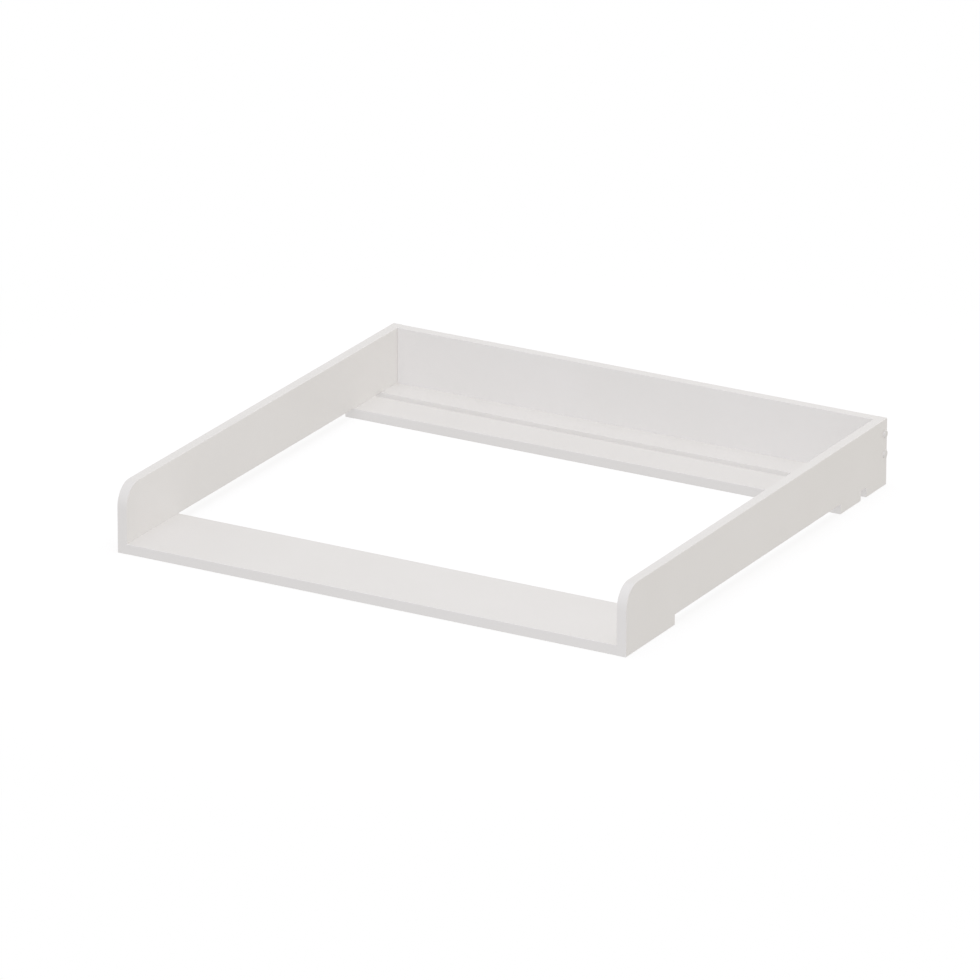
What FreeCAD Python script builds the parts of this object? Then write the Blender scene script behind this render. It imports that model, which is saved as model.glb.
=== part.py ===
import FreeCAD, Part
import math
import os

from FreeCAD import Vector

# Changing top that sits on a dresser: two sides, a back, a front board and two slats, joined by
# cams, dowels and screws. Millimetres; +X right, +Y to the back, +Z up.
# The origin is on the floor, in the middle of the footprint.

# Boards
frame_width = 860.0  # over the outer faces of the sides
side_height = 107.0
board_thickness = 16.0
front_board_depth = 150.0
recess_depth = 525.0  # room for the dresser's top, between the front board and the front slat
slat_width = 66.0
slat_gap = 18.0
corner_radius = 34.0  # top front corner of a side
edge_radius = 1.0  # eased long edges
joint_ease = 0.5  # bevel that leaves a fine groove where the back panel meets the sides

# Flat sides that round fixings and their bores are drawn with
bar_sides = 12  # bolts, screws, and bores for them and for dowels
disc_sides = 24  # cams and their bores

# Dowels
dowel_diameter = 8.0
dowel_length = 30.0
dowel_chamfer = 1.0
dowel_flutes = 8
flute_depth = 0.4
dowel_fit = 0.05  # all round
bore_end_gap = 0.8  # past the end of a dowel, bolt or screw
dowel_skin = 5.0  # wood left behind a dowel's bore in a board's face
board_dowel_inset = 27.0  # from the front board's long edges
slat_fixing_inset = 17.0  # dowel and cam from a slat's long edges
back_dowel_pitch = 256.0
back_dowels = 3

# Cam bolts
bolt_head_diameter = 6.0
bolt_neck_diameter = 4.0
bolt_shank_diameter = 6.0
collar_step = 0.8  # collar over the shank, all round
collar_length = 2.0
bolt_bore_fit = 0.2  # round the collar
bolt_thread_diameter = 5.0
thread_tip = 1.0
thread_fit = 0.05
thread_skin = 4.0  # wood left behind a bolt's bore in a side

# Cams
cam_inset = 24.0  # cam's axis from the board's end
track_room = 2.2  # track's radius over the ball head's
track_wall = 2.2  # mean wall outside the track
track_offset = 1.0  # track's centre from the cam's axis, which draws the ball in as the cam turns
entry_angle = 110.0  # way in for the ball, from the locked place, in degrees
head_play = 0.3  # round the ball and the neck
seat_gap = 0.05  # ball to track
neck_past_cam = 0.6  # neck beyond the cam's rim
cam_roof = 1.0  # cam above the track
cam_fit = 0.1  # round the cam and over it
cam_flush = 0.3  # cam's face inside the board's underside
driver_length = 8.0
driver_width = 1.6
driver_depth = 2.0

# Screws and caps at the back panel's ends
screw_length = 50.0
screw_thread_diameter = 6.2
screw_shank_diameter = 7.0
screw_head_step = 1.5  # countersunk head over the shank, all round
screw_head_land = 0.8
screw_sink = 0.2  # head below the side's outer face
screw_tip = 2.0
screw_fit = 0.05
screw_spacing = 32.0
screw_lift = 6.0  # pair's middle above the middle of the back panel
socket_across = 4.0
socket_depth = 4.0
cap_diameter = 12.0
cap_height = 3.2
cap_rim = 2.2  # straight part of the cap's edge
plug_fit = 0.08  # cap's hexagon inside the screw's socket
plug_gap = 0.8  # plug's end above the socket's floor

# Places that follow from the sizes above
foot_height = board_thickness
axis_height = board_thickness / 2
frame_depth = front_board_depth + recess_depth + 2 * slat_width + slat_gap
front = -frame_depth / 2
board_back = front + front_board_depth
slat_front = board_back + recess_depth
slat_back = slat_front + slat_width
rear_slat_front = slat_back + slat_gap
back = rear_slat_front + slat_width
back_panel_front = back - board_thickness
back_panel_middle = back - board_thickness / 2
side_outer = frame_width / 2
side_inner = side_outer - board_thickness

dowel_in_face = board_thickness - dowel_skin - bore_end_gap
thread_length = board_thickness - thread_skin - bore_end_gap
head_radius = bolt_head_diameter / 2
neck_radius = bolt_neck_diameter / 2
shank_radius = bolt_shank_diameter / 2
collar_radius = shank_radius + collar_step
bolt_bore_radius = collar_radius + bolt_bore_fit
track_radius = head_radius + track_room
track_half_height = head_radius + head_play
slot_half_height = neck_radius + head_play
cam_radius = track_radius + track_wall
cam_top = track_half_height + cam_roof
way_in = Vector(math.cos(math.radians(entry_angle)), math.sin(math.radians(entry_angle)), 0)
track_centre = way_in * track_offset
ball_reach = track_room - seat_gap  # from the track's centre to the ball's when it bears on the wall
ball_place = track_centre.x + math.sqrt(ball_reach ** 2 - track_centre.y ** 2)
screw_middle = (foot_height + side_height) / 2 + screw_lift
screw_heights = [screw_middle - screw_spacing / 2, screw_middle + screw_spacing / 2]
plug_length = socket_depth + screw_sink - plug_gap

# Each board between the sides: its front and back edges, and where its end fixings lie
cross_boards = {
    "front_board": {
        "edges": (front, board_back),
        "cam": (front + board_back) / 2,
        "dowels": [front + board_dowel_inset, board_back - board_dowel_inset],
    },
    "front_slat": {
        "edges": (slat_front, slat_back),
        "cam": slat_back - slat_fixing_inset,
        "dowels": [slat_front + slat_fixing_inset],
    },
    "rear_slat": {
        "edges": (rear_slat_front, back),
        "cam": back - slat_fixing_inset,
        "dowels": [rear_slat_front + slat_fixing_inset],
    },
}
hands = {"right": 1, "left": -1}
along_x = Vector(1, 0, 0)
along_y = Vector(0, 1, 0)
along_z = Vector(0, 0, 1)
flat = 1e-6


def rounded_face(corners, x):
    """Face in the plane at x, from (y, z, radius) corners joined by lines and tangent arcs."""
    points = [Vector(x, y, z) for y, z, _ in corners]
    edges = []
    ends = []
    for i, (_, _, radius) in enumerate(corners):
        corner = points[i]
        back_along = (points[i - 1] - corner).normalize()
        on_along = (points[(i + 1) % len(points)] - corner).normalize()
        half_angle = back_along.getAngle(on_along) / 2
        reach = radius / math.tan(half_angle)
        start = corner + back_along * reach
        end = corner + on_along * reach
        ends.append((start, end))
        if radius > 0:
            inward = (back_along + on_along).normalize()
            crown = corner + inward * (radius / math.sin(half_angle) - radius)
            edges.append(Part.Arc(start, crown, end).toShape())
    for i, (start, _) in enumerate(ends):
        edges.append(Part.LineSegment(ends[i - 1][1], start).toShape())
    return Part.Face(Part.Wire(Part.__sortEdges__(edges)))


def slab(corners, x, length):
    """Board with that outline, running along X from x."""
    return rounded_face(corners, x).extrude(along_x * length)


def patch(points):
    return Part.Face(Part.makePolygon(points + points[:1]))


def ring(x, radii):
    """Corners evenly round the X axis at x, one for each radius."""
    points = []
    for i, radius in enumerate(radii):
        angle = 2 * math.pi * i / len(radii)
        points.append(Vector(x, radius * math.cos(angle), radius * math.sin(angle)))
    return points


def skinned(rings):
    """Solid with flat ends, and flat strips from each ring to the next."""
    faces = [patch(rings[0]), patch(rings[-1])]
    for near, far in zip(rings, rings[1:]):
        for i in range(len(near)):
            faces.append(patch([near[i - 1], near[i], far[i], far[i - 1]]))
    shell = Part.makeShell(faces)
    shell.sewShape()
    return Part.Solid(shell)


def turned(profile, sides=bar_sides):
    """Piece about the X axis from (place, radius) points. Its corners lie on the round form."""
    return skinned([ring(place, [radius] * sides) for place, radius in profile])


def bored(profile, sides=bar_sides):
    """Room for such a piece. Its flats lie on the round form, so the piece fits at any turn."""
    spread = 1 / math.cos(math.pi / sides)
    return turned([(place, radius * spread) for place, radius in profile], sides)


def stood_up(piece):
    """Piece drawn along +X, turned to point up."""
    piece.rotate(Vector(), along_y, -90)
    return piece


def hexagon(x, length, across):
    """Six-sided bar along X."""
    section = [across / math.sqrt(3)] * 6
    return skinned([ring(x, section), ring(x + length, section)])


def at_end(piece, hand, x, y, z):
    """Piece drawn pointing along +X, placed at one end of a board; the left end faces the other way."""
    placed = piece.copy()
    if hand < 0:
        placed.rotate(Vector(), along_z, 180)
    placed.translate(Vector(hand * x, y, z))
    return placed


def dowel():
    """Fluted dowel along X; its zero is the joint between the two boards."""
    low = dowel_in_face - dowel_length
    ridge = dowel_diameter / 2
    section = [ridge, ridge - flute_depth] * dowel_flutes
    tip_section = [radius * (1 - dowel_chamfer / ridge) for radius in section]
    return skinned([
        ring(low, tip_section),
        ring(low + dowel_chamfer, section),
        ring(dowel_in_face - dowel_chamfer, section),
        ring(dowel_in_face, tip_section),
    ])


def dowel_bore():
    low = dowel_in_face - dowel_length - bore_end_gap
    high = dowel_in_face + bore_end_gap
    radius = dowel_diameter / 2 + dowel_fit
    return bored([(low, radius), (high, radius)])


def cam():
    """Cam disc about Z with the bolt coming in along +X, level with zero. The track inside is off
    centre, a slot lets the neck travel round, and the ball goes in where the wall is thinnest."""
    low = cam_flush - axis_height
    past_rim = 2 * cam_radius
    body = stood_up(turned([(low, cam_radius), (cam_top, cam_radius)], disc_sides))
    track_ends = (-track_half_height, track_half_height)
    track = stood_up(bored([(z, track_radius) for z in track_ends], disc_sides))
    track.translate(track_centre)
    half_way = (along_x + way_in).normalize()
    slot_floor = patch([Vector(), along_x * past_rim, half_way * past_rim, way_in * past_rim])
    slot_floor.translate(along_z * -slot_half_height)
    slot = slot_floor.extrude(along_z * 2 * slot_half_height)
    locked_end = bored([(0, slot_half_height), (past_rim, slot_half_height)])
    mouth = bored([(0, head_radius + head_play), (past_rim, head_radius + head_play)])
    mouth.rotate(Vector(), along_z, entry_angle)
    bar = Part.makeBox(driver_length, driver_width, driver_depth)
    bar.translate(Vector(-driver_length / 2, -driver_width / 2, low))
    cross_bar = bar.copy()
    cross_bar.rotate(Vector(), along_z, 90)
    return body.cut([track, slot, locked_end, mouth, bar, cross_bar])


def cam_bore():
    """Bore for a cam, from below the board's underside up."""
    radius = cam_radius + cam_fit
    return stood_up(bored([(-axis_height, radius), (cam_top + cam_fit, radius)], disc_sides))


def cam_bolt():
    """Bolt along +X in the cam's own frame: ball head, neck, shank, collar, and thread into the side."""
    thread_radius = bolt_thread_diameter / 2
    neck_end = cam_radius + neck_past_cam
    tip = cam_inset + thread_length
    neck_angle = math.acos(neck_radius / head_radius)  # where the ball narrows to the neck
    step = 2 * math.pi / bar_sides
    profile = []
    for i in range(int((math.pi / 2 + neck_angle) / step)):
        angle = step * (i + 0.5) - math.pi / 2
        profile.append((ball_place + head_radius * math.sin(angle), head_radius * math.cos(angle)))
    profile += [
        (ball_place + head_radius * math.sin(neck_angle), neck_radius),
        (neck_end, neck_radius),
        (neck_end, shank_radius),
        (cam_inset - collar_length, shank_radius),
        (cam_inset - collar_length, collar_radius),
        (cam_inset, collar_radius),
        (cam_inset, thread_radius),
        (tip - thread_tip, thread_radius),
        (tip, thread_radius - thread_tip),
    ]
    return turned(profile)


def screw_profile(fit, end_gap):
    """Countersunk connecting screw along -X from the side's outer face; fit and end_gap make its bore."""
    shank = screw_shank_diameter / 2 + fit
    thread = screw_thread_diameter / 2 + fit
    head = shank + screw_head_step
    land_end = -screw_sink - screw_head_land
    tip = -screw_sink - screw_length - end_gap
    return [
        (end_gap - screw_sink, head),
        (land_end, head),
        (land_end - screw_head_step, shank),
        (-board_thickness, shank),
        (-board_thickness, thread),
        (tip + screw_tip, thread),
        (tip, thread - screw_tip),
    ]


def connecting_screw():
    socket = hexagon(-screw_sink - socket_depth, socket_depth, socket_across)
    return turned(screw_profile(0, 0)).cut(socket)


def screw_bore():
    return bored(screw_profile(screw_fit, bore_end_gap))


def screw_cap():
    """Flat-domed cap that sits on the side's outer face, with a hexagon plug in the screw's socket."""
    radius = cap_diameter / 2
    rise = cap_height - cap_rim
    dome_radius = (radius ** 2 + rise ** 2) / (2 * rise)
    half_way = math.asin(radius / dome_radius) / 2
    shoulder = Vector(cap_rim, radius, 0)
    crown = Vector(cap_height, 0, 0)
    swell = crown + Vector(math.cos(half_way) - 1, math.sin(half_way), 0) * dome_radius
    outline = [
        Part.LineSegment(Vector(), Vector(0, radius, 0)).toShape(),
        Part.LineSegment(Vector(0, radius, 0), shoulder).toShape(),
        Part.Arc(shoulder, swell, crown).toShape(),
        Part.LineSegment(crown, Vector()).toShape(),
    ]
    dome = Part.Face(Part.Wire(outline)).revolve(Vector(), along_x, 360)
    plug = hexagon(-plug_length, plug_length, socket_across - 2 * plug_fit)
    return dome.fuse(plug).removeSplitter()


def side_outline():
    return [
        (front, 0, 0),
        (front, side_height, corner_radius),
        (back, side_height, 0),
        (back, 0, 0),
        (rear_slat_front, 0, 0),
        (rear_slat_front, foot_height, 0),
        (slat_back, foot_height, 0),
        (slat_back, 0, 0),
        (slat_front, 0, 0),
        (slat_front, foot_height, 0),
        (board_back, foot_height, 0),
        (board_back, 0, 0),
    ]


def joint_lands():
    """Square-edged blocks in the right side where a board's end meets its inner face."""
    depth = board_thickness / 2
    lands = []
    for board in cross_boards.values():
        y0, y1 = board["edges"]
        lands.append(Part.makeBox(depth, y1 - y0, foot_height, Vector(side_inner, y0, 0)))
    back_height = side_height - foot_height
    corner = Vector(side_inner, back_panel_front, foot_height)
    lands.append(Part.makeBox(depth, board_thickness, back_height, corner))
    return lands


def right_side_panel():
    """Side with feet and a rounded front corner. Its edges are eased all round, but stay square
    where a board's end meets the inner face, so the joints close flush."""
    blank = slab(side_outline(), side_inner, board_thickness)
    rim = [edge for edge in blank.Edges if edge.BoundBox.XLength < flat]
    eased = blank.makeFillet(edge_radius, rim)
    thread_radius = bolt_thread_diameter / 2 + thread_fit
    thread_bore = bored([(0, thread_radius), (thread_length + bore_end_gap, thread_radius)])
    bores = []
    for board in cross_boards.values():
        bores.append(at_end(thread_bore, 1, side_inner, board["cam"], axis_height))
        for y in board["dowels"]:
            bores.append(at_end(dowel_bore(), 1, side_inner, y, axis_height))
    for z in screw_heights:
        bores.append(at_end(screw_bore(), 1, side_outer, back_panel_middle, z))
    return eased.fuse(joint_lands()).removeSplitter().cut(bores)


def back_dowel_places():
    first = -back_dowel_pitch * (back_dowels - 1) / 2
    return [first + back_dowel_pitch * i for i in range(back_dowels)]


def upright(piece, x):
    """Dowel or its bore stood up in the joint between the rear slat and the back panel."""
    placed = piece.copy()
    placed.rotate(Vector(), along_y, 90)
    placed.translate(Vector(x, back_panel_middle, foot_height))
    return placed


def back_panel():
    """Panel between the sides, on the rear slat, with eased top edges. The front edges of its ends are
    bevelled up to the easing, so that a fine groove shows in the frame's rear corners."""
    corners = [
        (back_panel_front, foot_height, 0),
        (back_panel_front, side_height, edge_radius),
        (back, side_height, edge_radius),
        (back, foot_height, 0),
    ]
    panel = slab(corners, -side_inner, 2 * side_inner)
    groove_length = side_height - foot_height - edge_radius
    cuts = [upright(dowel_bore(), x) for x in back_dowel_places()]
    for hand in hands.values():
        corner = Vector(hand * side_inner, back_panel_front, foot_height)
        wedge = patch([corner, corner - along_x * hand * joint_ease, corner + along_y * joint_ease])
        cuts.append(wedge.extrude(along_z * groove_length))
        for z in screw_heights:
            cuts.append(at_end(screw_bore(), hand, side_outer, back_panel_middle, z))
    return panel.cut(cuts)


def cross_board(name):
    """Board or slat between the sides, with eased long edges and the bores for its end fixings."""
    board = cross_boards[name]
    y0, y1 = board["edges"]
    corners = [
        (y0, 0, edge_radius),
        (y0, board_thickness, edge_radius),
        (y1, board_thickness, edge_radius),
        (y1, 0, edge_radius),
    ]
    blank = slab(corners, -side_inner, 2 * side_inner)
    bores = []
    for hand in hands.values():
        bores.append(at_end(cam_bore(), hand, side_inner - cam_inset, board["cam"], axis_height))
        bolt_bore = bored([(0, bolt_bore_radius), (cam_inset, bolt_bore_radius)])
        bores.append(at_end(bolt_bore, hand, side_inner - cam_inset, board["cam"], axis_height))
        for y in board["dowels"]:
            bores.append(at_end(dowel_bore(), hand, side_inner, y, axis_height))
    if name == "rear_slat":
        bores += [upright(dowel_bore(), x) for x in back_dowel_places()]
    return blank.cut(bores)


def build():
    """Every piece by its name; a list holds several like pieces."""
    right = right_side_panel()
    pieces = {
        "right_side_panel": right,
        "left_side_panel": right.mirror(Vector(), along_x),
        "back_panel": back_panel(),
        "back_panel_dowels": [upright(dowel(), x) for x in back_dowel_places()],
    }
    for name, board in cross_boards.items():
        pieces[name] = cross_board(name)
        cam_place = (side_inner - cam_inset, board["cam"], axis_height)
        pieces[f"{name}_cams"] = [at_end(cam(), hand, *cam_place) for hand in hands.values()]
        for side, hand in hands.items():
            pieces[f"{name}_cam_bolt_{side}"] = at_end(cam_bolt(), hand, *cam_place)
            pieces[f"{name}_dowels_{side}"] = [
                at_end(dowel(), hand, side_inner, y, axis_height) for y in board["dowels"]
            ]
    caps = []
    for side, hand in hands.items():
        places = [(hand, side_outer, back_panel_middle, z) for z in screw_heights]
        pieces[f"back_panel_screws_{side}"] = [at_end(connecting_screw(), *place) for place in places]
        caps += [at_end(screw_cap(), *place) for place in places]
    pieces["screw_caps"] = caps
    return pieces


os.makedirs("parts", exist_ok=True)
for name, piece in build().items():
    solids = piece if isinstance(piece, list) else [piece]
    shape = Part.makeCompound(solids) if len(solids) > 1 else solids[0]
    count = len(shape.Solids)
    print(f"{name}: {count} solid(s), valid {shape.isValid()}, volume {shape.Volume:.1f} mm3")
    shape.exportStep(f"parts/{name}.step")
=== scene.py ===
import math

import bmesh
import bpy
from mathutils import Matrix, Quaternion, Vector


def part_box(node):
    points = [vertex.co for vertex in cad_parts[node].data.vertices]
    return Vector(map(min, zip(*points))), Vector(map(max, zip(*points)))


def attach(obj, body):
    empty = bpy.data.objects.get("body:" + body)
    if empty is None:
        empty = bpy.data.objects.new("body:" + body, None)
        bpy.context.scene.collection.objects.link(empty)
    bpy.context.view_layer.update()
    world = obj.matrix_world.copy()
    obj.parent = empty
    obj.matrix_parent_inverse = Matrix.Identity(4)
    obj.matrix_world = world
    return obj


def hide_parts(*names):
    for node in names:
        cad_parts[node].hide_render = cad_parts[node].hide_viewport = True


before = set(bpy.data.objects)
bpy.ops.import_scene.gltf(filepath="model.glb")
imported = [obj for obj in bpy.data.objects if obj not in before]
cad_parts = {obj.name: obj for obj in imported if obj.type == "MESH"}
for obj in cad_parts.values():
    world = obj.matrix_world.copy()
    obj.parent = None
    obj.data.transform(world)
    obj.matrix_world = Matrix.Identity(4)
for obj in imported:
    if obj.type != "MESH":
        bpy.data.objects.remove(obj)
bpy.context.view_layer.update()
scene = bpy.context.scene
scene.view_settings.view_transform = "Standard"
print("frame loaded,", len(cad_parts), "nodes")


pureWhite = (1, 1, 1, 1)
noiseSpan = (0.3, 0.7)  # where most of a noise pattern's values lie


def mm(value):
    return value / 1000


def perMetre(size):
    return 1000 / size  # a pattern's scale, from its size in mm


def hexColour(code):
    # sRGB hex to the linear values that the shaders take
    def linear(v):
        return v / 12.92 if v <= 0.04045 else ((v + 0.055) / 1.055) ** 2.4
    return tuple(linear(int(code[i:i + 2], 16) / 255) for i in (0, 2, 4)) + (1.0,)


def addNode(tree, kind, inputs=None, **settings):
    node = tree.nodes.new(kind)
    for name, value in settings.items():
        setattr(node, name, value)
    for name, value in (inputs or {}).items():
        if isinstance(value, bpy.types.NodeSocket):
            tree.links.new(value, node.inputs[name])
        else:
            node.inputs[name].default_value = value
    return node


def newMaterial(name):
    material = bpy.data.materials.new(name)
    material.use_nodes = True
    material.node_tree.nodes.clear()
    return material, material.node_tree


def paint(node, material):
    # a CAD node keeps its mesh and takes the finish in its material slot
    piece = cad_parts[node]
    if not piece.material_slots:
        piece.data.materials.append(material)
    for slot in piece.material_slots:
        slot.material = material


# White satin lacquer sprayed on MDF: an even, faintly warm white with no grain.
# Its spray leaves a shallow orange peel and very slight changes of tone and gloss.
lacquer = {
    "pale": "E4E2DF",
    "deep": "E0DEDA",
    "cloud": 140,         # mm, soft drift of the tone
    "peel": 5,            # mm, really about 2, drawn coarser so that it shows
    "peelHeight": 0.03,   # mm
    "glossDrift": 60,     # mm
    "roughness": (0.36, 0.46),
    "ior": 1.5,
    "groove": 0.5,        # mm, width of the grooves at the back panel's ends
    "paintedGrooveShade": "D8D5D0",  # painted shade: a little greyer in them, so that the joint's fine line shows
    "grooveSlack": 0.02,  # mm, so that the grooves' walls are inside too
}


def lacquerMaterial(values):
    material, tree = newMaterial("white satin lacquer on MDF")
    place = addNode(tree, "ShaderNodeTexCoord").outputs["Object"]
    cloud = addNode(tree, "ShaderNodeTexNoise", {
        "Vector": place, "Scale": perMetre(values["cloud"]), "Detail": 3.0})
    tone = addNode(tree, "ShaderNodeMix", {
        0: cloud.outputs["Fac"], 6: hexColour(values["deep"]), 7: hexColour(values["pale"])},
        data_type="RGBA")
    # painted shade in the grooves at the back panel's ends: both grooves at once, by the distance from
    # the middle
    backLow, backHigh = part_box("back_panel")
    half = mm(values["groove"] / 2)
    reach = half + mm(values["grooveSlack"])
    axes = addNode(tree, "ShaderNodeSeparateXYZ", {"Vector": place})
    fromMiddle = addNode(tree, "ShaderNodeMath", {0: axes.outputs["X"]}, operation="ABSOLUTE")
    atEnd = addNode(tree, "ShaderNodeMath", {
        0: fromMiddle.outputs[0], 1: backHigh.x - half, 2: reach}, operation="COMPARE")
    atFront = addNode(tree, "ShaderNodeMath", {
        0: axes.outputs["Y"], 1: backLow.y + half, 2: half}, operation="COMPARE")
    shadeInGroove = addNode(tree, "ShaderNodeMath", {0: atEnd.outputs[0], 1: atFront.outputs[0]},
                       operation="MULTIPLY")
    # painted shade: the lacquer turns greyer inside the grooves, standing in for the shade that falls in
    # the joint
    colour = addNode(tree, "ShaderNodeMix", {
        0: shadeInGroove.outputs[0], 6: tone.outputs[2], 7: hexColour(values["paintedGrooveShade"])}, data_type="RGBA")
    drift = addNode(tree, "ShaderNodeTexNoise", {
        "Vector": place, "Scale": perMetre(values["glossDrift"]), "Detail": 2.0})
    gloss = addNode(tree, "ShaderNodeMapRange", {
        "Value": drift.outputs["Fac"], "From Min": noiseSpan[0], "From Max": noiseSpan[1],
        "To Min": values["roughness"][0], "To Max": values["roughness"][1]})
    peel = addNode(tree, "ShaderNodeTexNoise", {
        "Vector": place, "Scale": perMetre(values["peel"]), "Detail": 1.0})
    bump = addNode(tree, "ShaderNodeBump", {
        "Height": peel.outputs["Fac"], "Strength": 1.0, "Distance": mm(values["peelHeight"])})
    shader = addNode(tree, "ShaderNodeBsdfPrincipled", {
        "Base Color": colour.outputs[2], "Roughness": gloss.outputs["Result"],
        "IOR": values["ior"], "Normal": bump.outputs["Normal"]})
    addNode(tree, "ShaderNodeOutputMaterial", {"Surface": shader.outputs["BSDF"]})
    return material


whiteLacquer = lacquerMaterial(lacquer)
boards = ("right_side_panel", "left_side_panel", "back_panel", "front_board", "front_slat", "rear_slat")
for name in boards:
    paint(name, whiteLacquer)
print("boards lacquered")


# Beech, turned and fluted: a pale pinkish tan with fine straight grain and short dark ray flecks
beech = {
    "pale": "DDBB92",
    "deep": "C89C6F",
    "fleck": "9A6B45",
    "grain": (0.9, 14.0),      # mm, across and along the grain
    "fleckSize": (0.5, 3.0),   # mm, across and along
    "fleckSpan": (0.62, 0.7),  # the highest part of the noise, so that flecks are few
    "roughness": (0.55, 0.7),
    "height": 0.03,            # mm
    "ior": 1.5,
}


def beechMaterial(name, values, along):
    # along is the grain's axis, 0 for X and 2 for Z
    material, tree = newMaterial(name)
    place = addNode(tree, "ShaderNodeTexCoord").outputs["Object"]

    def stretched(size, **more):
        across, length = size
        scale = [perMetre(across)] * 3
        scale[along] = perMetre(length)
        mapped = addNode(tree, "ShaderNodeMapping", {"Vector": place, "Scale": scale})
        return addNode(tree, "ShaderNodeTexNoise", {
            "Vector": mapped.outputs["Vector"], "Scale": 1.0, **more}).outputs["Fac"]

    grain = stretched(values["grain"], Detail=4.0)
    tone = addNode(tree, "ShaderNodeMix", {
        0: grain, 6: hexColour(values["deep"]), 7: hexColour(values["pale"])}, data_type="RGBA")
    spots = addNode(tree, "ShaderNodeMapRange", {
        "Value": stretched(values["fleckSize"], Detail=1.0),
        "From Min": values["fleckSpan"][0], "From Max": values["fleckSpan"][1]})
    colour = addNode(tree, "ShaderNodeMix", {
        0: spots.outputs["Result"], 6: tone.outputs[2], 7: hexColour(values["fleck"])},
        data_type="RGBA")
    gloss = addNode(tree, "ShaderNodeMapRange", {
        "Value": grain, "To Min": values["roughness"][1], "To Max": values["roughness"][0]})
    bump = addNode(tree, "ShaderNodeBump", {
        "Height": grain, "Strength": 1.0, "Distance": mm(values["height"])})
    shader = addNode(tree, "ShaderNodeBsdfPrincipled", {
        "Base Color": colour.outputs[2], "Roughness": gloss.outputs["Result"],
        "IOR": values["ior"], "Normal": bump.outputs["Normal"]})
    addNode(tree, "ShaderNodeOutputMaterial", {"Surface": shader.outputs["BSDF"]})
    return material


# Die-cast zinc: dull grey metal with the soft cloudy skin that the mould leaves.
# Bright zinc plate on steel: cooler, smoother metal with a faint change of tone in the plating.
metals = {
    "die-cast zinc": {
        "pale": "B4B6B7", "deep": "94979A", "roughness": (0.42, 0.58),
        "cloud": 2.5, "skin": 0.6, "skinHeight": 0.02},  # mm
    "zinc-plated steel": {
        "pale": "CDD1D4", "deep": "B3B9BF", "roughness": (0.2, 0.34),
        "cloud": 4.0, "skin": 0.4, "skinHeight": 0.004},  # mm
}


def metalMaterial(name, values):
    material, tree = newMaterial(name)
    place = addNode(tree, "ShaderNodeTexCoord").outputs["Object"]
    cloud = addNode(tree, "ShaderNodeTexNoise", {
        "Vector": place, "Scale": perMetre(values["cloud"]), "Detail": 3.0}).outputs["Fac"]
    tone = addNode(tree, "ShaderNodeMix", {
        0: cloud, 6: hexColour(values["deep"]), 7: hexColour(values["pale"])}, data_type="RGBA")
    skin = addNode(tree, "ShaderNodeTexNoise", {
        "Vector": place, "Scale": perMetre(values["skin"]), "Detail": 2.0}).outputs["Fac"]
    gloss = addNode(tree, "ShaderNodeMapRange", {
        "Value": skin, "From Min": noiseSpan[0], "From Max": noiseSpan[1],
        "To Min": values["roughness"][0], "To Max": values["roughness"][1]})
    bump = addNode(tree, "ShaderNodeBump", {
        "Height": skin, "Strength": 1.0, "Distance": mm(values["skinHeight"])})
    shader = addNode(tree, "ShaderNodeBsdfPrincipled", {
        "Base Color": tone.outputs[2], "Metallic": 1.0, "Roughness": gloss.outputs["Result"],
        "Normal": bump.outputs["Normal"]})
    addNode(tree, "ShaderNodeOutputMaterial", {"Surface": shader.outputs["BSDF"]})
    return material


# Moulded white polyethylene: a softer white than the lacquer, a little greyer and waxy, with the
# fine grit of a spark-eroded mould
plastic = {
    "pale": "E0DEDB",
    "deep": "D9D7D3",
    "cloud": 6,              # mm
    "texture": 0.7,          # mm, really about 0.2, drawn coarser so that it shows
    "textureHeight": 0.012,  # mm
    "roughness": (0.38, 0.5),
    "ior": 1.51,
}


def plasticMaterial(values):
    material, tree = newMaterial("moulded white polyethylene")
    place = addNode(tree, "ShaderNodeTexCoord").outputs["Object"]
    cloud = addNode(tree, "ShaderNodeTexNoise", {
        "Vector": place, "Scale": perMetre(values["cloud"]), "Detail": 2.0}).outputs["Fac"]
    tone = addNode(tree, "ShaderNodeMix", {
        0: cloud, 6: hexColour(values["deep"]), 7: hexColour(values["pale"])}, data_type="RGBA")
    grit = addNode(tree, "ShaderNodeTexNoise", {
        "Vector": place, "Scale": perMetre(values["texture"]), "Detail": 2.0}).outputs["Fac"]
    gloss = addNode(tree, "ShaderNodeMapRange", {
        "Value": grit, "From Min": noiseSpan[0], "From Max": noiseSpan[1],
        "To Min": values["roughness"][0], "To Max": values["roughness"][1]})
    bump = addNode(tree, "ShaderNodeBump", {
        "Height": grit, "Strength": 1.0, "Distance": mm(values["textureHeight"])})
    shader = addNode(tree, "ShaderNodeBsdfPrincipled", {
        "Base Color": tone.outputs[2], "Roughness": gloss.outputs["Result"],
        "IOR": values["ior"], "Normal": bump.outputs["Normal"]})
    addNode(tree, "ShaderNodeOutputMaterial", {"Surface": shader.outputs["BSDF"]})
    return material


beechAlongX = beechMaterial("turned beech, grain along X", beech, 0)
beechAlongZ = beechMaterial("turned beech, grain along Z", beech, 2)
castZinc = metalMaterial("die-cast zinc", metals["die-cast zinc"])
platedSteel = metalMaterial("zinc-plated steel", metals["zinc-plated steel"])
whitePlastic = plasticMaterial(plastic)
print("finishes ready")


# Fixings are drawn in millimetres about their own axis, then set in place at the frame's scale
crossBoards = ("front_board", "front_slat", "rear_slat")
hands = {"right": 1, "left": -1}
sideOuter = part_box("right_side_panel")[1].x
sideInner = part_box("right_side_panel")[0].x
facets = 60         # steps of a full spin
easeSteps = 4       # steps of a rounded edge
slack = 0.01        # mm, for picking points by their place
samePoint = 0.001   # mm, points nearer than this are joined
sharpAngle = 30     # degrees, edges that turn by more than this stay crisp


def line(bm, corners):
    # a line through (x, r) corners beside the X axis
    points = [bm.verts.new((x, r, 0)) for x, r in corners]
    for near, far in zip(points, points[1:]):
        bm.edges.new((near, far))
    return points


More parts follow.
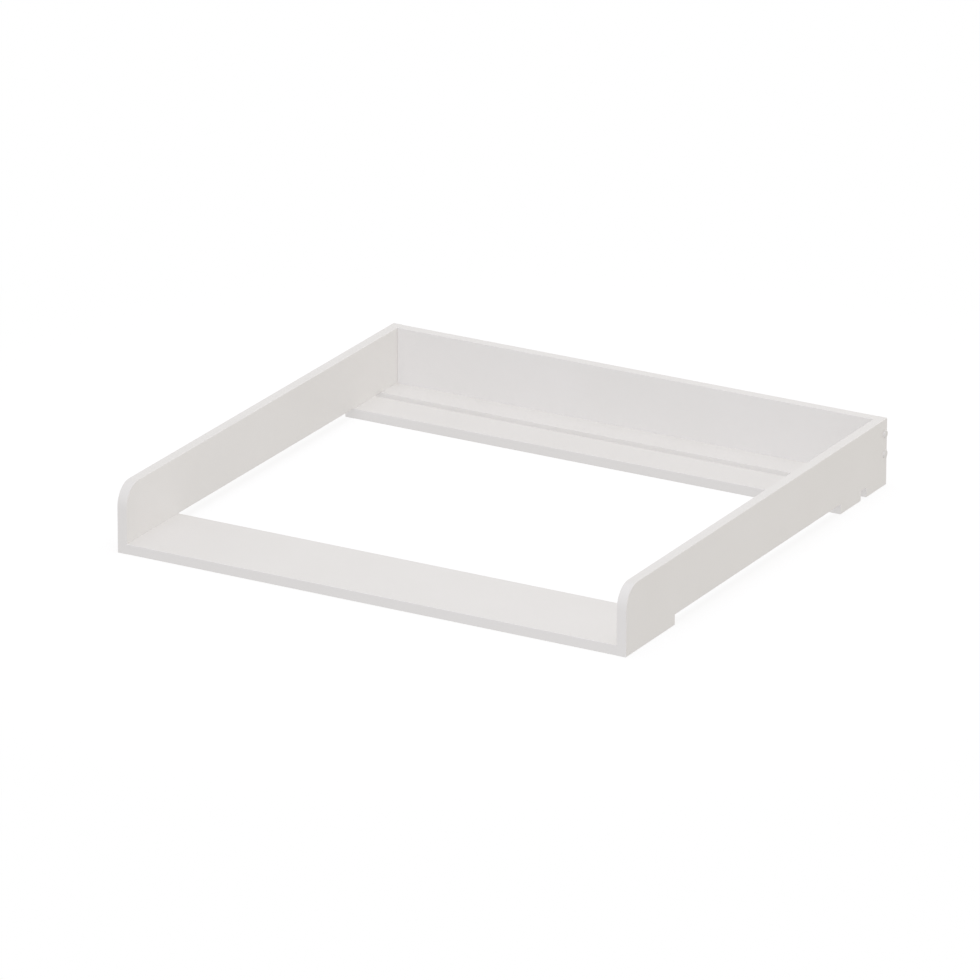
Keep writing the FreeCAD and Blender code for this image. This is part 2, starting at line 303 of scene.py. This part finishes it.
def ease(bm, corners, radius):
    bmesh.ops.bevel(bm, geom=corners, offset=radius, affect="VERTICES", segments=easeSteps,
                    profile=0.5, material=-1)


def spinRound(bm):
    # the whole line, once round the X axis
    bmesh.ops.spin(bm, geom=bm.verts[:] + bm.edges[:], cent=(0, 0, 0), axis=(1, 0, 0),
                   angle=2 * math.pi, steps=facets, use_merge=True)
    bmesh.ops.remove_doubles(bm, verts=bm.verts, dist=samePoint)


def openEdges(bm):
    return [edge for edge in bm.edges if edge.is_boundary]


def joinHexagon(bm, x, across, depth):
    # a hexagon in the open ring at x, with walls that run on by depth and a closed end
    ring = openEdges(bm)
    turn = Matrix.Translation((x, 0, 0)) @ Matrix.Rotation(math.pi / 2, 4, "Y")
    made = bmesh.ops.create_circle(bm, segments=6, radius=across / math.sqrt(3), matrix=turn)
    sides = list({edge for point in made["verts"] for edge in point.link_edges})
    parted = bmesh.ops.subdivide_edges(bm, edges=sides, cuts=facets // 6 - 1)
    sides = [item for item in parted["geom"] if isinstance(item, bmesh.types.BMEdge)]
    bmesh.ops.bridge_loops(bm, edges=ring + sides)
    walls = bmesh.ops.extrude_edge_only(bm, edges=sides)["geom"]
    end = [item for item in walls if isinstance(item, bmesh.types.BMVert)]
    bmesh.ops.translate(bm, verts=end, vec=(depth, 0, 0))
    bmesh.ops.holes_fill(bm, edges=openEdges(bm), sides=0)


def addThread(bm, start, end, core, crest, pitch):
    # a ridge that runs round the X axis as it moves along, and dies out at both ends
    half = 0.4 * pitch  # half the ridge's width at its foot
    bite = 0.1          # mm, ridge inside the core
    least = 0.08        # share of the ridge's height left at its ends, which lies inside the core
    feet = core - bite
    section = line(bm, [(start - half, feet), (start, crest), (start + half, feet)])
    bm.edges.new((section[2], section[0]))
    edges = list({edge for point in section for edge in point.link_edges})
    turns = (end - start) / pitch
    steps = round(turns * facets / 2)  # coarser than the shank, as the ridge is so small
    before = set(bm.verts)
    spun = bmesh.ops.spin(bm, geom=section + edges, cent=(0, 0, 0), axis=(1, 0, 0),
                          dvec=((end - start) / steps, 0, 0), angle=2 * math.pi * turns, steps=steps)
    last = [item for item in spun["geom_last"] if isinstance(item, bmesh.types.BMVert)]
    bmesh.ops.contextual_create(bm, geom=section)
    bmesh.ops.contextual_create(bm, geom=last)
    for point in section + [point for point in bm.verts if point not in before]:
        reach = math.hypot(point.co.y, point.co.z)
        share = min(1, (point.co.x - start) / pitch, (end - point.co.x) / pitch)
        lowered = feet + (reach - feet) * max(least, share)
        point.co.y *= lowered / reach
        point.co.z *= lowered / reach


def keepShape(bm, name):
    bmesh.ops.recalc_face_normals(bm, faces=bm.faces)
    shape = bpy.data.meshes.new(name)
    bm.to_mesh(shape)
    bm.free()
    return shape


def spot(x, y, z, turn=Matrix()):
    # x, y, z in metres; the shape itself is in millimetres
    return Matrix.Translation((x, y, z)) @ turn @ Matrix.Scale(mm(1), 4)


def handTurn(hand):
    return Matrix.Rotation(0 if hand > 0 else math.pi, 4, "Z")


def setPieces(node, shape, spots, material):
    bm = bmesh.new()
    for place in spots:
        copy = shape.copy()
        copy.transform(place)
        bm.from_mesh(copy)
        bpy.data.meshes.remove(copy)
    first, *rest = node.split("_")
    name = first + "".join(word.capitalize() for word in rest)
    mesh = bpy.data.meshes.new(name)
    bm.to_mesh(mesh)
    bm.free()
    mesh.materials.append(material)
    mesh.shade_smooth()
    mesh.set_sharp_from_angle(angle=math.radians(sharpAngle))
    piece = bpy.data.objects.new(name, mesh)
    scene.collection.objects.link(piece)
    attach(piece, "root")
    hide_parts(node)


# Caps over the connecting screws: a rim with an eased edge, a shallow dome, and a hexagon plug
screwCap = {
    "diameter": 12.0,
    "height": 3.2,
    "rim": 2.2,
    "shoulder": 0.5,     # rounding between rim and dome
    "foot": 0.15,        # rounding at the side panel
    "plugRing": 6.0,     # plain ring round the plug
    "plugAcross": 3.84,
    "plugLength": 3.4,
    "domeSteps": 8,
}


def drawCap(values):
    bm = bmesh.new()
    radius = values["diameter"] / 2
    rise = values["height"] - values["rim"]
    domeRadius = (radius ** 2 + rise ** 2) / (2 * rise)
    crown = bm.verts.new((values["height"], 0, 0))
    arc = bmesh.ops.spin(bm, geom=[crown], cent=(values["height"] - domeRadius, 0, 0), axis=(0, 0, 1),
                         angle=math.asin(radius / domeRadius), steps=values["domeSteps"])
    shoulder = arc["geom_last"][0]
    base = line(bm, [(0, radius), (0, values["plugRing"] / 2)])
    bm.edges.new((shoulder, base[0]))
    ease(bm, [shoulder], values["shoulder"])
    ease(bm, [base[0]], values["foot"])
    spinRound(bm)
    joinHexagon(bm, 0, values["plugAcross"], -values["plugLength"])
    return keepShape(bm, "screw cap")


capLow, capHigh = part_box("screw_caps")
capReach = mm(screwCap["diameter"] / 2)
capHeights = (capLow.z + capReach, capHigh.z - capReach)
capSpots = []
for hand in hands.values():
    for z in capHeights:
        capSpots.append(spot(hand * sideOuter, (capLow.y + capHigh.y) / 2, z, handTurn(hand)))
setPieces("screw_caps", drawCap(screwCap), capSpots, whitePlastic)
print("caps set")


# Connecting screws under the caps: countersunk head with a hexagon socket, plain shank, coarse thread
connectingScrew = {
    "headDiameter": 10.0,
    "headLand": 0.8,
    "headStep": 1.5,     # depth of the countersink
    "shankDiameter": 7.0,
    "shankEnd": 15.8,    # from the head's face
    "coreDiameter": 4.6,
    "crestDiameter": 6.2,
    "pitch": 3.0,
    "length": 50.0,
    "tip": 2.0,
    "edge": 0.15,
    "socketRing": 6.0,
    "socketAcross": 4.0,
    "socketDepth": 4.0,
}


def drawScrew(values):
    # the head's face at zero, the shank along -X
    bm = bmesh.new()
    head, shank = values["headDiameter"] / 2, values["shankDiameter"] / 2
    core = values["coreDiameter"] / 2
    coneEnd = -values["headLand"] - values["headStep"]
    tip = -values["length"]
    points = line(bm, [
        (0, values["socketRing"] / 2), (0, head), (-values["headLand"], head), (coneEnd, shank),
        (-values["shankEnd"], shank), (-values["shankEnd"], core),
        (tip + values["tip"], core), (tip, 0)])
    ease(bm, points[1:3], values["edge"])
    spinRound(bm)
    joinHexagon(bm, 0, values["socketAcross"], -values["socketDepth"])
    addThread(bm, tip + values["tip"], -values["shankEnd"] - values["pitch"], core,
              values["crestDiameter"] / 2, values["pitch"])
    return keepShape(bm, "connecting screw")


screwShape = drawScrew(connectingScrew)
for side, hand in hands.items():
    low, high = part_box("back_panel_screws_" + side)
    face = high.x if hand > 0 else low.x
    reach = mm(connectingScrew["headDiameter"] / 2)
    spots = [spot(face, (low.y + high.y) / 2, z, handTurn(hand)) for z in (low.z + reach, high.z - reach)]
    setPieces("back_panel_screws_" + side, screwShape, spots, platedSteel)
print("screws set")


# Cam bolts: a ball head on a thin neck, a shank with a collar, and a thread in the side panel
camBolt = {
    "ballDiameter": 6.0,
    "ballPlace": 22.408,   # its middle, back from the joint
    "neckDiameter": 4.0,
    "neckEnd": 16.0,       # back from the joint
    "shankDiameter": 6.0,
    "collarDiameter": 7.6,
    "collarLength": 2.0,
    "coreDiameter": 3.6,
    "crestDiameter": 5.0,
    "pitch": 1.75,
    "threadLength": 11.2,
    "tip": 1.0,
    "edge": 0.2,
    "ballSteps": 14,
}


def drawBolt(values):
    # the joint at zero, the thread along +X
    bm = bmesh.new()
    ball, neck = values["ballDiameter"] / 2, values["neckDiameter"] / 2
    shank, collar = values["shankDiameter"] / 2, values["collarDiameter"] / 2
    core = values["coreDiameter"] / 2
    end = bm.verts.new((-values["ballPlace"] - ball, 0, 0))
    sweep = math.pi - math.asin(neck / ball)
    arc = bmesh.ops.spin(bm, geom=[end], cent=(-values["ballPlace"], 0, 0), axis=(0, 0, 1),
                         angle=-sweep, steps=values["ballSteps"])
    points = line(bm, [
        (-values["neckEnd"], neck), (-values["neckEnd"], shank), (-values["collarLength"], shank),
        (-values["collarLength"], collar), (0, collar), (0, core),
        (values["threadLength"] - values["tip"], core), (values["threadLength"], 0)])
    bm.edges.new((arc["geom_last"][0], points[0]))
    ease(bm, [points[1], points[3], points[4]], values["edge"])
    spinRound(bm)
    addThread(bm, values["pitch"] / 2, values["threadLength"] - values["tip"], core,
              values["crestDiameter"] / 2, values["pitch"])
    return keepShape(bm, "cam bolt")


boltShape = drawBolt(camBolt)
for board in crossBoards:
    for side, hand in hands.items():
        node = board + "_cam_bolt_" + side
        low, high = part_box(node)
        place = spot(hand * sideInner, (low.y + high.y) / 2, (low.z + high.z) / 2, handTurn(hand))
        setPieces(node, boltShape, [place], platedSteel)
print("bolts set")


# Cams: a disc with a cross slot in its face, an off-centre track inside, a slot in its rim for the
# bolt's neck, and a wider mouth where the ball goes in
camDisc = {
    "diameter": 14.8,
    "low": -7.7,           # face, below the bolt's axis
    "top": 4.3,
    "edge": 0.4,
    "trackDiameter": 10.4,
    "trackHalf": 3.3,
    "trackOffset": 1.0,
    "slotHalf": 2.3,
    "mouthHalf": 3.1,
    "mouthAngle": 110,     # from the locked place, in degrees
    "crossLength": 8.0,
    "crossWidth": 1.6,
    "crossDepth": 2.0,
}


def drawCam(values):
    bm = bmesh.new()
    radius, track = values["diameter"] / 2, values["trackDiameter"] / 2
    low, top = values["low"], values["top"]
    levels = [-values["mouthHalf"], -values["slotHalf"], values["slotHalf"], values["mouthHalf"]]
    rim = line(bm, [(low, radius - values["edge"]), (low, radius)]
               + [(level, radius) for level in levels] + [(top, radius), (top, 0)])
    line(bm, [(-values["trackHalf"], 0), (-values["trackHalf"], track)]
         + [(level, track) for level in levels]
         + [(values["trackHalf"], track), (values["trackHalf"], 0)])
    ease(bm, [rim[-2]], values["edge"])
    spinRound(bm)
    # drawn along X so far, now stood up on its face
    bmesh.ops.rotate(bm, verts=bm.verts, cent=(0, 0, 0), matrix=Matrix.Rotation(-math.pi / 2, 3, "Y"))

    wayIn = Matrix.Rotation(math.radians(values["mouthAngle"]), 3, "Z") @ Vector((1, 0, 0))
    inner = [point for point in bm.verts if point.co.xy.length < track + slack
             and abs(point.co.z) < values["trackHalf"] + slack]
    bmesh.ops.translate(bm, verts=inner, vec=wayIn * values["trackOffset"])

    def opens(face):
        middle = face.calc_center_median()
        angle = math.degrees(math.atan2(middle.y, middle.x))
        swept = 0 < angle < values["mouthAngle"]
        locked = middle.x > 0 and -values["slotHalf"] < middle.y <= 0
        inSlot = abs(middle.z) < values["slotHalf"] and (swept or locked)
        aside = abs(middle.cross(wayIn).z)
        facing = middle.dot(wayIn) > 0 and aside < values["mouthHalf"]
        inMouth = abs(middle.z) < values["mouthHalf"] and facing
        upright = abs(face.normal.z) < 0.5  # a wall, not an end
        return upright and (inSlot or inMouth)

    bm.normal_update()
    bmesh.ops.delete(bm, geom=[face for face in bm.faces if opens(face)], context="FACES")
    faceRing = [edge for edge in openEdges(bm)
                if all(point.co.z < low + slack for point in edge.verts)]
    bmesh.ops.bridge_loops(bm, edges=[edge for edge in openEdges(bm) if edge not in faceRing])

    # the cross: a square whose four sides run out, sunk by its depth
    half = values["crossWidth"] / 2
    floor = Matrix.Translation((0, 0, low + values["crossDepth"]))
    square = bmesh.ops.create_grid(bm, x_segments=1, y_segments=1, size=half, matrix=floor)["verts"]
    arm = (values["crossLength"] - values["crossWidth"]) / 2
    for edge in list({edge for point in square for edge in point.link_edges}):
        outward = (edge.verts[0].co + edge.verts[1].co) / 2
        outward.z = 0
        ends = [item for item in bmesh.ops.extrude_edge_only(bm, edges=[edge])["geom"]
                if isinstance(item, bmesh.types.BMVert)]
        bmesh.ops.translate(bm, verts=ends, vec=outward.normalized() * arm)
    outline = [edge for edge in openEdges(bm) if edge not in faceRing]
    tips = [edge for edge in outline if edge.calc_length() < values["crossWidth"] + slack]
    flanks = [edge for edge in outline if edge not in tips]
    # parted into about as many edges as the ring that the cross is joined to
    tipParts = 2
    flankParts = (facets - tipParts * len(tips)) // len(flanks)
    bmesh.ops.subdivide_edges(bm, edges=flanks, cuts=flankParts - 1)
    bmesh.ops.subdivide_edges(bm, edges=tips, cuts=tipParts - 1)
    outline = [edge for edge in openEdges(bm) if edge not in faceRing]
    walls = bmesh.ops.extrude_edge_only(bm, edges=outline)["geom"]
    lip = [item for item in walls if isinstance(item, bmesh.types.BMVert)]
    bmesh.ops.translate(bm, verts=lip, vec=(0, 0, -values["crossDepth"]))
    bmesh.ops.bridge_loops(bm, edges=openEdges(bm))
    return keepShape(bm, "cam")


camShape = drawCam(camDisc)
camReach = mm(camDisc["diameter"] / 2)
for board in crossBoards:
    low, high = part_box(board + "_cams")
    axisHeight = low.z - mm(camDisc["low"])
    spots = []
    for hand in hands.values():
        x = high.x - camReach if hand > 0 else low.x + camReach
        spots.append(spot(x, (low.y + high.y) / 2, axisHeight, handTurn(hand)))
    setPieces(board + "_cams", camShape, spots, castZinc)
print("cams set")


# Dowels: fluted all round, with chamfered ends
dowel = {
    "diameter": 8.0,
    "length": 30.0,
    "chamfer": 1.0,
    "flutes": 20,
    "fluteDepth": 0.35,
    "fluteCorners": 4,   # corners from one flute to the next
}


def drawDowel(values):
    # drawn along Z, its middle at zero
    bm = bmesh.new()
    radius, half = values["diameter"] / 2, values["length"] / 2
    corners = values["fluteCorners"] * values["flutes"]
    bmesh.ops.create_circle(bm, cap_ends=True, segments=corners, radius=radius)
    for point in bm.verts:
        index = round(math.atan2(point.co.y, point.co.x) / (2 * math.pi) * corners)
        if index % values["fluteCorners"] == 0:
            point.co *= 1 - values["fluteDepth"] / radius
    small = 1 - values["chamfer"] / radius
    face = bm.faces[:][0]
    bmesh.ops.scale(bm, verts=bm.verts, vec=(small, small, 1))
    bmesh.ops.translate(bm, verts=bm.verts, vec=(0, 0, -half))
    rises = (values["chamfer"], values["length"] - 2 * values["chamfer"], values["chamfer"])
    for rise, size in zip(rises, (1 / small, 1, small)):
        face = bmesh.ops.extrude_discrete_faces(bm, faces=[face])["faces"][0]
        bmesh.ops.translate(bm, verts=face.verts, vec=(0, 0, rise))
        bmesh.ops.scale(bm, verts=face.verts, vec=(size, size, 1))
    bmesh.ops.holes_fill(bm, edges=openEdges(bm), sides=0)
    return keepShape(bm, "dowel")


dowelShape = drawDowel(dowel)
dowelReach = mm(dowel["diameter"] / 2)
lying = Matrix.Rotation(math.pi / 2, 4, "Y")
decimals = 5  # of a metre, so to a hundredth of a millimetre
for board in crossBoards:
    for side in hands:
        node = board + "_dowels_" + side
        low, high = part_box(node)
        # one dowel in a slat's end, where both places are the same, and two in the front board's
        ys = sorted({round(y, decimals) for y in (low.y + dowelReach, high.y - dowelReach)})
        spots = [spot((low.x + high.x) / 2, y, (low.z + high.z) / 2, lying) for y in ys]
        setPieces(node, dowelShape, spots, beechAlongX)
low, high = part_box("back_panel_dowels")
xs = (low.x + dowelReach, (low.x + high.x) / 2, high.x - dowelReach)
spots = [spot(x, (low.y + high.y) / 2, (low.z + high.z) / 2) for x in xs]
setPieces("back_panel_dowels", dowelShape, spots, beechAlongZ)
print("dowels set")


# Studio: a pale floor, an even white surround, soft fill lamps all round that cast no shadow, as the
# photo's even light casts none inside the frame, and a lamp overhead that does
studio = {
    "floorSize": 60.0,        # m
    "below": 0.3,             # mm, floor under the feet
    "fade": (0.6, 1.3),       # m from the middle, where the floor turns into the white surround
    "shade": "999999",        # matt part of the floor, which takes the shadow
    "lift": 0.7,              # glow of the floor itself, which keeps that shadow faint
    "table": "FFFCF9",        # glow of the floor as it lights the object
    "tableLevel": 0.595,
    "surround": "FFFCF9",     # and that of the room round it
    "surroundLevel": 0.648,
}
lamps = {
    "front lamp": {
        "place": (2.5, -8.0, 2.2), "target": (0.0, 0.0, 0.05), "size": 4.0,
        "power": 237.0, "colour": "EAEFFF", "shadow": False},
    "right lamp": {
        "place": (7.0, 4.0, 2.5), "target": (0.0, 0.0, 0.05), "size": 4.0,
        "power": 110.5, "colour": "FFFCF9", "shadow": False},
    "left lamp": {
        "place": (-8.0, -1.0, 2.5), "target": (0.0, 0.0, 0.05), "size": 4.0,
        "power": 92.0, "colour": "FFFCF9", "shadow": False},
    "rear lamp": {
        "place": (0.0, 8.0, 2.2), "target": (0.0, 0.0, 0.05), "size": 4.0,
        "power": 110.5, "colour": "FFFCF9", "shadow": False},
    "overhead lamp": {
        "place": (0.0, 0.0, 3.0), "target": (0.0, 0.0, 0.05), "size": 3.0,
        "power": 22.5, "colour": "EAEFFF", "shadow": True},
}


def seenDirectly(tree):
    # camera, glossy and transmission rays see the white background itself
    path = addNode(tree, "ShaderNodeLightPath")
    straight = addNode(tree, "ShaderNodeMath", {
        0: path.outputs["Is Camera Ray"], 1: path.outputs["Is Glossy Ray"]},
        operation="MAXIMUM")
    return addNode(tree, "ShaderNodeMath", {
        0: straight.outputs[0], 1: path.outputs["Is Transmission Ray"]},
        operation="MAXIMUM").outputs[0]


def makeSurround(values):
    world = bpy.data.worlds.new("studio surround")
    world.use_nodes = True
    tree = world.node_tree
    tree.nodes.clear()
    light = addNode(tree, "ShaderNodeBackground", {
        "Color": hexColour(values["surround"]), "Strength": values["surroundLevel"]})
    white = addNode(tree, "ShaderNodeBackground", {"Color": pureWhite, "Strength": 1.0})
    mix = addNode(tree, "ShaderNodeMixShader", {
        0: seenDirectly(tree), 1: light.outputs[0], 2: white.outputs[0]})
    addNode(tree, "ShaderNodeOutputWorld", {"Surface": mix.outputs[0]})
    scene.world = world


def makeFloor(values):
    material, tree = newMaterial("pale studio floor")
    place = addNode(tree, "ShaderNodeTexCoord").outputs["Object"]
    reach = addNode(tree, "ShaderNodeVectorMath", {0: place}, operation="LENGTH")
    fade = addNode(tree, "ShaderNodeMapRange", {
        "Value": reach.outputs["Value"], "From Min": values["fade"][0],
        "From Max": values["fade"][1]}, interpolation_type="SMOOTHSTEP")
    # what is seen: a matt white that keeps the shadow, and fades into the white surround
    matt = addNode(tree, "ShaderNodeBsdfDiffuse", {"Color": hexColour(values["shade"])})
    lift = addNode(tree, "ShaderNodeEmission", {"Color": pureWhite, "Strength": values["lift"]})
    near = addNode(tree, "ShaderNodeAddShader", {0: matt.outputs[0], 1: lift.outputs[0]})
    far = addNode(tree, "ShaderNodeEmission", {"Color": pureWhite, "Strength": 1.0})
    seen = addNode(tree, "ShaderNodeMixShader", {
        0: fade.outputs["Result"], 1: near.outputs[0], 2: far.outputs[0]})
    # what lights the object: the even pale glow of a light table
    table = addNode(tree, "ShaderNodeEmission", {
        "Color": hexColour(values["table"]), "Strength": values["tableLevel"]})
    ground = addNode(tree, "ShaderNodeMixShader", {
        0: seenDirectly(tree), 1: table.outputs[0], 2: seen.outputs[0]})
    # clear from underneath, so that the underside can be looked at
    side = addNode(tree, "ShaderNodeNewGeometry")
    clear = addNode(tree, "ShaderNodeBsdfTransparent", {"Color": pureWhite})
    whole = addNode(tree, "ShaderNodeMixShader", {
        0: side.outputs["Backfacing"], 1: ground.outputs[0], 2: clear.outputs[0]})
    addNode(tree, "ShaderNodeOutputMaterial", {"Surface": whole.outputs[0]})
    # its glow is found by bounces alone, as it lies right under the boards
    material.cycles.emission_sampling = "NONE"

    bm = bmesh.new()
    bmesh.ops.create_grid(bm, x_segments=1, y_segments=1, size=values["floorSize"] / 2)
    bmesh.ops.translate(bm, verts=bm.verts, vec=(0, 0, -mm(values["below"])))
    mesh = bpy.data.meshes.new("floor")
    bm.to_mesh(mesh)
    bm.free()
    mesh.materials.append(material)
    floor = bpy.data.objects.new("floor", mesh)
    scene.collection.objects.link(floor)


def makeLamp(name, values):
    lamp = bpy.data.lights.new(name, "AREA")
    lamp.shape = "DISK"
    lamp.size = values["size"]
    lamp.energy = values["power"]
    lamp.color = hexColour(values["colour"])[:3]
    lamp.use_shadow = values["shadow"]
    holder = bpy.data.objects.new(name, lamp)
    holder.location = values["place"]
    aim = Vector(values["target"]) - Vector(values["place"])
    holder.rotation_mode = "QUATERNION"
    holder.rotation_quaternion = aim.to_track_quat("-Z", "Y")
    holder.visible_camera = False
    scene.collection.objects.link(holder)


makeSurround(studio)
makeFloor(studio)
for name, values in lamps.items():
    makeLamp(name, values)
print("studio ready")


# Camera: a long lens from the front right, a little above
view = {
    "azimuth": 29.2044,    # degrees to the right of the front
    "elevation": 20.5572,
    "roll": 0.1888,
    "distance": 15.06,     # m
    "target": (0.00097, -0.04979, 0.0611),
    "lens": 370.25,        # mm
    "sensor": 36.0,        # mm
    "farthest": 200,       # m, past the floor's far edge
}


def makeCamera(values):
    camera = bpy.data.cameras.new("camera")
    camera.lens = values["lens"]
    camera.sensor_width = values["sensor"]
    camera.clip_end = values["farthest"]
    holder = bpy.data.objects.new("camera", camera)
    a, e = math.radians(values["azimuth"]), math.radians(values["elevation"])
    back = Vector((math.sin(a) * math.cos(e), -math.cos(a) * math.cos(e), math.sin(e)))
    holder.location = Vector(values["target"]) + back * values["distance"]
    holder.rotation_mode = "QUATERNION"
    roll = Quaternion((0, 0, 1), math.radians(values["roll"]))
    holder.rotation_quaternion = (-back).to_track_quat("-Z", "Y") @ roll
    scene.collection.objects.link(holder)
    scene.camera = holder


makeCamera(view)
print("camera set")
